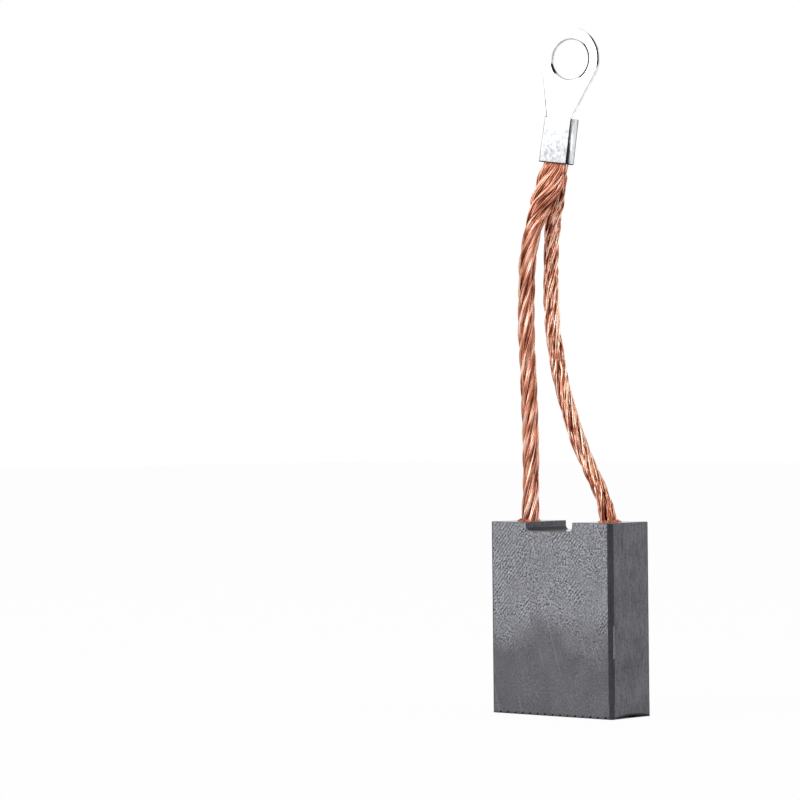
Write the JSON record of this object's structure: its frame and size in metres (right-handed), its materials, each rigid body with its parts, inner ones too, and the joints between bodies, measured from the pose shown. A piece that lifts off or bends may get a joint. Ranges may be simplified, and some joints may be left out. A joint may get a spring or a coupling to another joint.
{
  "type": "carbon brush",
  "caption": "Motor carbon brush: slotted carbon block with a serrated wear face and tamped copper leads crimped in a ring terminal.",
  "frame": {"origin": "middle of the wear face, on the surface that the block stands on", "axes": "+Z from the wear face to the head with the leads, +X along the width of the block, +Y through its thickness, away from the side that the terminal faces"},
  "size_m": [0.032, 0.0126, 0.1387],
  "materials": {
    "carbon": "ground matt",
    "copper_powder": "rough",
    "copper_rope": "bare drawn wire",
    "tinned_sheet": "bright tinned"
  },
  "bodies": {
    "root": {"carbon_block": "carbon", "tamping_left": "copper_powder", "tamping_right": "copper_powder", "lead_left": "copper_rope", "lead_right": "copper_rope", "ring_terminal": "tinned_sheet"}
  },
  "joints": []
}
